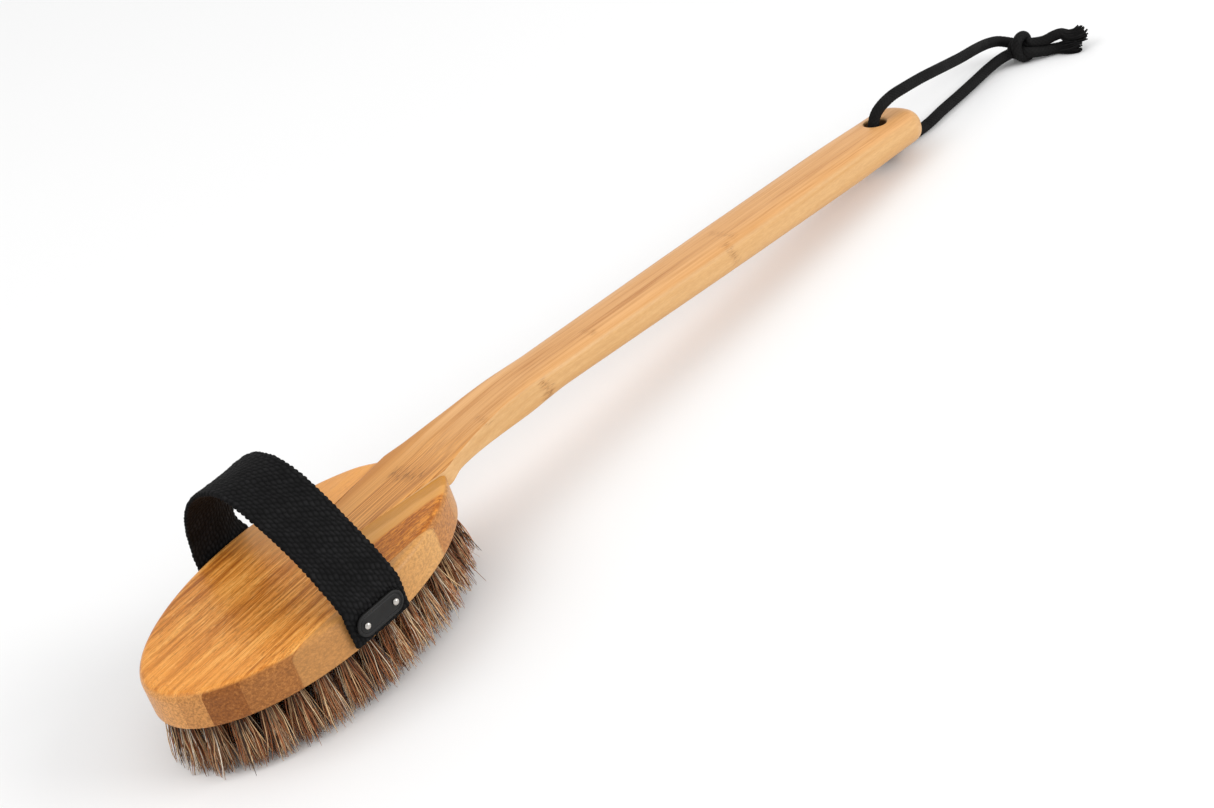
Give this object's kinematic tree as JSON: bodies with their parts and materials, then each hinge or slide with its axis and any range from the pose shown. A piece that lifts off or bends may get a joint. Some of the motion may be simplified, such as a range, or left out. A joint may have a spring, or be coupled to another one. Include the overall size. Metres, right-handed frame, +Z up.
{
  "type": "body dry brush",
  "caption": "Oval bamboo body brush with flared bristle tufts, a webbing hand strap and a long, removable bamboo handle with a hanging cord.",
  "frame": {"origin": "middle of the brush's length and width, on the table that it lies on; the cord is not counted", "axes": "+X from the head along the handle, +Y across the brush, +Z up, away from the table"},
  "size_m": [0.5217, 0.0853, 0.0757],
  "materials": {
    "head_bamboo": "clear satin varnish, warm amber",
    "handle_bamboo": "satin varnish, pale honey",
    "bristle": "mixed grey, brown and blond horsehair",
    "staple_wire": "drawn wire",
    "webbing": "coarse black cotton webbing",
    "plate": "soft black, moulded border",
    "screw": "polished",
    "cord": "braided black cotton"
  },
  "bodies": {
    "head": {"head_block": "head_bamboo", "tuft_ring_outer": "bristle", "tuft_ring_inner": "bristle", "tuft_row_near": "bristle", "tuft_row_centre": "bristle", "tuft_row_far": "bristle", "tuft_staples": "staple_wire", "hand_strap": "webbing", "strap_plate_near": "plate", "strap_plate_far": "plate", "strap_screw_near_toe": "screw", "strap_screw_near_heel": "screw", "strap_screw_far_toe": "screw", "strap_screw_far_heel": "screw"},
    "handle": {"handle": "handle_bamboo"},
    "hang_loop": {"cord_strand_upper": "cord", "cord_strand_lower": "cord", "cord_knot": "cord", "cord_tail_upper": "cord", "cord_tail_lower": "cord"}
  },
  "joints": [
    {"name": "handle_slide", "type": "slide", "parent": "head", "child": "handle", "axis": [0.9992, 0, 0.0389], "range_m": [0, 0.07]},
    {"name": "loop_swing", "type": "hinge", "parent": "handle", "child": "hang_loop", "pos_m": [0.19003, 0, 0.02165], "axis": [0.0831, 0, 0.9965], "range_deg": [-40, 40]}
  ]
}
